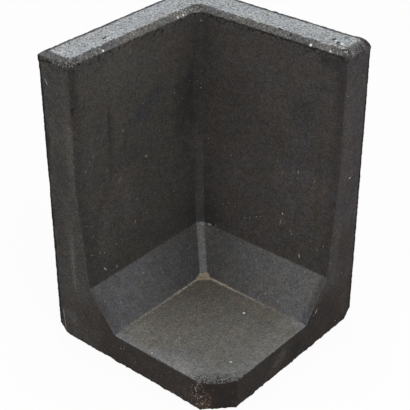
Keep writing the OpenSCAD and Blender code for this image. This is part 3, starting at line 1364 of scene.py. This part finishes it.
def marks(p: WallProfile) -> tuple[Coat, ...]:
    """Lists the scratches, smears and broken places that the element carries.

    Args:
        p: sizes of the casting.

    Returns:
        The coats, undermost first.
    """
    left, front, inner_x, inner_y = p.left, p.front, p.inner_x, p.inner_y
    rim_y, rim_x, rim_z = inner_y + 5.5 * MM, inner_x + 5.5 * MM, p.rim + 5.5 * MM
    # For each scratch: colour, share, its two ends and half its width.
    scratches = (
        ("#242221", 0.5, (-0.112, inner_y, 0.535), (-0.113, inner_y, 0.362), 3.4 * MM),
        ("#242221", 0.5, (-0.074, inner_y, 0.412), (-0.0755, inner_y, 0.370), 2.6 * MM),
        ("#262423", 0.5, (0.031, inner_y, 0.452), (0.0305, inner_y, 0.418), 2.4 * MM),
        ("#b4aea3", 0.8, (-0.162, 0.116, 0.169), (-0.155, 0.1155, 0.158), 2.0 * MM),
        ("#b4aea3", 0.8, (-0.126, 0.115, 0.159), (-0.131, 0.114, 0.148), 2.0 * MM),
        ("#9a8a6c", 0.7, (-0.024, inner_y, 0.345), (-0.014, inner_y, 0.340), 1.8 * MM),
        ("#1f1e1d", 0.6, (inner_x, -0.1565, 0.394), (inner_x, -0.1575, 0.364), 2.2 * MM),
        ("#b0a99e", 0.7, (0.132, -0.112, 0.338), (0.132, -0.113, 0.328), 1.8 * MM),
        ("#aca593", 0.8, (0.1231, -0.0855, 0.239), (0.1221, -0.0885, 0.229), 2.2 * MM),
        ("#8d7a63", 0.6, (0.1222, -0.086, 0.224), (0.1195, -0.083, 0.205), 1.8 * MM),
        ("#c4c0b8", 0.5, (0.1163, -0.134, 0.167), (0.1152, -0.137, 0.155), 1.9 * MM),
        ("#b7b3ab", 0.8, (left, 0.1925, 0.556), (left, 0.1850, 0.543), 1.2 * MM),
        ("#97938a", 0.85, (left, 0.1925, 0.064), (left, 0.1885, 0.008), 1.7 * MM),
        ("#2c2927", 0.55, (left, 0.150, 0.252), (left, 0.1465, 0.104), 1.8 * MM),
        ("#aea597", 0.8, (0.087, front, 0.087), (0.079, front, 0.075), 1.9 * MM),
    )
    spall = Patch((left, -0.152, 0.043), (0.016, 0.018, 0.026), core=0.4)
    low_spall = Patch((left + 6 * MM, -0.162, 0.018), (0.018, 0.018, 0.026), core=0.4)
    smear = Patch((-0.030, front, 0.034), (0.042, 0.008, 0.020), (0, -0.6, 0), 0.1)
    smear_line = Patch.stroke((-0.008, front, 0.052), (-0.022, front, 0.028), 2.0 * MM)
    damp = Patch((0.022, front, 0.026), (0.026, 0.008, 0.028), core=0.2)
    left_crumbs = Patch((left + 8 * MM, rim_y + 3 * MM, rim_z), (0.026, 0.018, 0.014), core=0.4)
    right_crumbs = Patch((rim_x + 8 * MM, front + 20 * MM, rim_z), (0.018, 0.030, 0.014), core=0.4)
    inner_crumbs = Patch((rim_x, rim_y, rim_z), (0.030, 0.022, 0.010), core=0.3)
    rim_scum = Patch((0.092, rim_y, rim_z), (0.045, 0.008, 0.010), core=0.4)
    rubbed = (
        ("#a08977", 0.70, (left, 0.030, 0.046), (0.010, 0.020, 0.016)),
        ("#8f7a6a", 0.60, (left, 0.000, 0.026), (0.010, 0.016, 0.014)),
        ("#8f7a6a", 0.50, (left, -0.120, 0.018), (0.010, 0.060, 0.020)),
    )
    return (
        tuple(
            Coat(tint, share, patch=Patch.stroke(start, end, half_width))
            for tint, share, start, end, half_width in scratches
        )
        + tuple(
            Coat(tint, share, patch=Patch(at, radii), pattern=Pattern.SPARSE)
            for tint, share, at, radii in rubbed
        )
        + (
            Coat("#1d1916", 0.70, patch=damp),
            Coat("#4a443c", 0.50, patch=smear),
            Coat("#655d53", 0.35, patch=smear, pattern=Pattern.GRAINY),
            Coat("#7f776b", 0.50, patch=smear_line),
            Coat("#3c2e27", 0.60, patch=low_spall),
            Coat("#5a463b", 0.55, patch=low_spall, pattern=Pattern.GRAINY),
            Coat("#b59c8a", 0.70, patch=low_spall, pattern=Pattern.SPARSE),
            Coat("#4a3a31", 0.65, patch=spall, pattern=Pattern.GRAINY),
            Coat("#120f0e", 0.90, patch=spall, pattern=Pattern.SPECKLED),
            Coat("#c6ae9c", 0.78, patch=spall, pattern=Pattern.SPARSE),
            Coat("#1c1a19", 0.70, patch=left_crumbs, pattern=Pattern.SPECKLED),
            Coat("#0f0e0d", 0.90, patch=left_crumbs, pattern=Pattern.PITTED),
            Coat("#a4a4a0", 0.40, patch=left_crumbs, pattern=Pattern.SPARSE),
            Coat("#6b6c6d", 0.45, patch=right_crumbs),
            Coat("#1c1a19", 0.70, patch=right_crumbs, pattern=Pattern.SPECKLED),
            Coat("#0f0e0d", 0.90, patch=right_crumbs, pattern=Pattern.PITTED),
            Coat("#d4d4d0", 0.60, patch=right_crumbs, pattern=Pattern.SPARSE),
            Coat("#87837d", 0.50, patch=rim_scum),
            Coat("#2a2826", 0.60, patch=inner_crumbs, pattern=Pattern.SPECKLED),
            Coat("#d8d8d4", 0.60, patch=rim_scum, pattern=Pattern.SPARSE),
        )
    )


def chips(p: WallProfile) -> tuple[Coat, ...]:
    """Lists the small chips and grains that lie over everything else.

    Args:
        p: sizes of the casting.

    Returns:
        The coats, undermost first.
    """
    left, front, inner_x, inner_y = p.left, p.front, p.inner_x, p.inner_y
    chip_y, chip_x, chip_z = inner_y + 2.5 * MM, inner_x + 2.5 * MM, p.rim + 2.5 * MM
    # For each chip: colour, share, middle and half sizes.
    chips_at = (
        ("#0c0b0a", 0.9, (-0.199, inner_y, 0.510), (0.006, 0.005, 0.004)),
        ("#161413", 0.8, (-0.199, inner_y, 0.504), (0.003, 0.005, 0.008)),
        ("#a58c78", 0.7, (0.046, 0.123, 0.239), (0.002, 0.003, 0.002)),
        ("#1f1c1b", 0.6, (inner_x, -0.065, 0.495), (0.002, 0.006, 0.0022)),
        ("#1f1c1b", 0.6, (inner_x, -0.020, 0.468), (0.002, 0.004, 0.002)),
        ("#c2bdb3", 0.8, (0.167, front, 0.339), (0.0036, 0.002, 0.0018)),
        ("#a79a86", 0.7, (0.114, 0.088, p.haunch_top), (0.005, 0.006, 0.0022)),
        ("#a79a86", 0.6, (0.115, 0.072, p.haunch_top + 3 * MM), (0.003, 0.003, 0.003)),
        ("#f0f2f1", 0.9, (-0.115, chip_y, chip_z), (0.0026, 0.003, 0.003)),
        ("#e8eae9", 0.9, (0.080, chip_y, chip_z), (0.0024, 0.003, 0.003)),
        ("#e8eae9", 0.8, (0.095, chip_y, chip_z), (0.0022, 0.003, 0.003)),
        ("#f0f2f1", 1.0, (chip_x, -0.124, chip_z), (0.0040, 0.0035, 0.0040)),
        ("#1a1918", 0.9, (inner_x, -0.127, p.rim - 3 * MM), (0.003, 0.006, 0.003)),
        ("#e0e1de", 0.8, (chip_x, -0.166, chip_z), (0.003, 0.003, 0.003)),
        ("#f0f2f1", 0.8, (0.151, 0.045, p.height), (0.0025, 0.0025, 0.002)),
        ("#f0f2f1", 0.8, (0.160, 0.030, p.height), (0.0020, 0.0025, 0.002)),
        ("#f0f2f1", 0.8, (0.149, 0.010, p.height), (0.0025, 0.0020, 0.002)),
        ("#161514", 1.0, (0.143, -0.052, p.height), (0.005, 0.008, 0.004)),
        ("#161514", 0.9, (0.140, -0.077, 0.596), (0.004, 0.005, 0.004)),
        ("#1f1e1d", 0.9, (-0.088, 0.160, p.height), (0.006, 0.003, 0.004)),
        ("#f4f6f6", 0.9, (-0.086, 0.155, p.height), (0.009, 0.002, 0.004)),
        ("#2b2b2a", 0.95, (0.167, -0.152, p.height), (0.007, 0.005, 0.004)),
        ("#f4f6f6", 0.7, (0.164, -0.158, p.height), (0.006, 0.004, 0.004)),
        ("#2b2b2a", 0.95, (0.160, -0.165, p.height), (0.008, 0.004, 0.004)),
        ("#f4f6f6", 0.7, (0.160, -0.174, p.height), (0.005, 0.004, 0.004)),
        ("#2b2b2a", 0.95, (0.154, -0.171, p.height), (0.004, 0.008, 0.004)),
        ("#2b2b2a", 0.8, (0.186, -0.164, p.height), (0.012, 0.004, 0.004)),
        ("#4b4947", 0.8, (0.196, front, 0.586), (0.016, 0.010, 0.008)),
        ("#3b3836", 0.8, (0.138, front, 0.590), (0.012, 0.012, 0.005)),
        ("#353230", 0.8, (left, 0.136, 0.588), (0.010, 0.010, 0.005)),
        ("#efece5", 1.0, (0.0075, -0.0885, p.foot), (0.0032, 0.0032, 0.003)),
        ("#cfccc4", 0.8, (-0.1228, -0.162, p.foot), (0.0026, 0.0026, 0.002)),
        ("#cfccc4", 0.7, (-0.131, -0.0445, p.foot), (0.0024, 0.0024, 0.002)),
        ("#cfccc4", 0.7, (-0.197, -0.035, p.foot), (0.003, 0.0024, 0.002)),
    )
    return tuple(
        Coat(tint, share, patch=Patch(at, radii, core=0.5)) for tint, share, at, radii in chips_at
    )


# ---------------------------------------------------------------- floor, light and camera


@dataclass(frozen=True)
class Studio:
    """A pale floor, soft overhead light and the camera.

    Places and sizes are in metres, roll is in degrees and the sensor and the lens are
    in millimetres. key is in watts; sky and floor_glow are shares of full brightness.
    """

    eye: Point = (-1.3922, -1.1791, 1.4073)
    aim: Point = (-0.0094, -0.0045, 0.2837)
    roll: float = -0.1
    sensor: float = 36.0
    lens: float = 100.6
    farthest: float = 50.0
    floor_size: float = 12.0
    floor_drop: float = 0.2 * MM
    floor_glow: float = 0.93
    sky: float = 0.75
    key: float = 26.0
    key_size: float = 1.6
    key_at: Point = (-1.1, -1.6, 2.3)
    key_aim: Point = (0.0, 0.0, 0.25)

    def build(self) -> None:
        """Adds the floor, the light and the camera."""
        self._floor()
        self._sky()
        self._key()
        self._camera()

    def _floor(self) -> None:
        """Lays a pale floor that reads as white and keeps a soft shadow."""
        deselect_all()
        bpy.ops.mesh.primitive_plane_add(size=self.floor_size, location=(0, 0, -self.floor_drop))
        floor = bpy.context.object
        floor.name = "studio_floor"
        material = bpy.data.materials.new("pale_floor")
        tree = empty_tree(material)
        seen = add_node(tree, "ShaderNodeLightPath", give="Is Camera Ray")
        matt = add_node(tree, "ShaderNodeBsdfDiffuse", {"Color": "#b4b4b4"})
        bright = add_node(tree, "ShaderNodeBsdfDiffuse", {"Color": "#f8f8f8"})
        glow = add_node(tree, "ShaderNodeEmission", {"Color": "#ffffff", "Strength": 1.0})
        lit = add_node(tree, "ShaderNodeMixShader", {0: self.floor_glow, 1: bright, 2: glow})
        shown = add_node(tree, "ShaderNodeMixShader", {0: seen, 1: matt, 2: lit})
        add_node(tree, "ShaderNodeOutputMaterial", {"Surface": shown})
        floor.data.materials.append(material)

    def _sky(self) -> None:
        """Lights everything evenly from above, with white behind the object."""
        world = bpy.data.worlds.new("soft_sky")
        bpy.context.scene.world = world
        tree = empty_tree(world)
        seen = add_node(tree, "ShaderNodeLightPath", give="Is Camera Ray")
        sky = add_node(tree, "ShaderNodeBackground", {"Color": "#fafafa", "Strength": self.sky})
        white = add_node(tree, "ShaderNodeBackground", {"Color": "#ffffff", "Strength": 1.0})
        shown = add_node(tree, "ShaderNodeMixShader", {0: seen, 1: sky, 2: white})
        add_node(tree, "ShaderNodeOutputWorld", {"Surface": shown})

    def _key(self) -> None:
        """Hangs one large soft lamp above and in front."""
        lamp = bpy.data.lights.new("soft_box", "AREA")
        lamp.shape = "SQUARE"
        lamp.size = self.key_size
        lamp.energy = self.key
        self._point(bpy.data.objects.new("soft_box", lamp), self.key_at, self.key_aim)

    def _camera(self) -> None:
        """Sets the camera at the height and distance of a standing person."""
        data = bpy.data.cameras.new("camera")
        data.sensor_width = self.sensor
        data.lens = self.lens
        data.clip_end = self.farthest
        camera = bpy.data.objects.new("camera", data)
        self._point(camera, self.eye, self.aim)
        camera.rotation_euler.rotate_axis("Z", math.radians(self.roll))
        bpy.context.scene.camera = camera

    @staticmethod
    def _point(thing: bpy.types.Object, at: Point, aim: Point) -> None:
        """Puts a lamp or a camera into the scene and turns it to what it aims at.

        Args:
            thing: the new object.
            at: where it stands.
            aim: the point that it looks at.
        """
        bpy.context.scene.collection.objects.link(thing)
        thing.location = at
        towards = Vector(aim) - Vector(at)
        thing.rotation_euler = towards.to_track_quat("-Z", "Y").to_euler()


def main() -> None:
    """Builds the casting, dresses it and sets up the studio."""
    logging.basicConfig(level=logging.INFO, format="%(name)s: %(message)s")
    profile = WallProfile.from_node(NODE)
    casting = Casting(profile)
    piece = casting.build()
    coats = face_coats(profile) + stains(profile) + edge_coats(profile) + marks(profile)
    over = veils(profile) + chips(profile)
    casting.dress(PigmentedConcrete(profile, BASE_COLOUR, coats, over))
    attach(piece, "root")
    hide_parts(NODE)
    LOG.info("%s: %d faces, %d coats", piece.name, len(piece.data.polygons), len(coats + over))
    Studio().build()
    LOG.info("studio: floor, sky, soft box and camera")
    bpy.context.scene.view_settings.view_transform = "Standard"


if __name__ == "__main__":
    main()
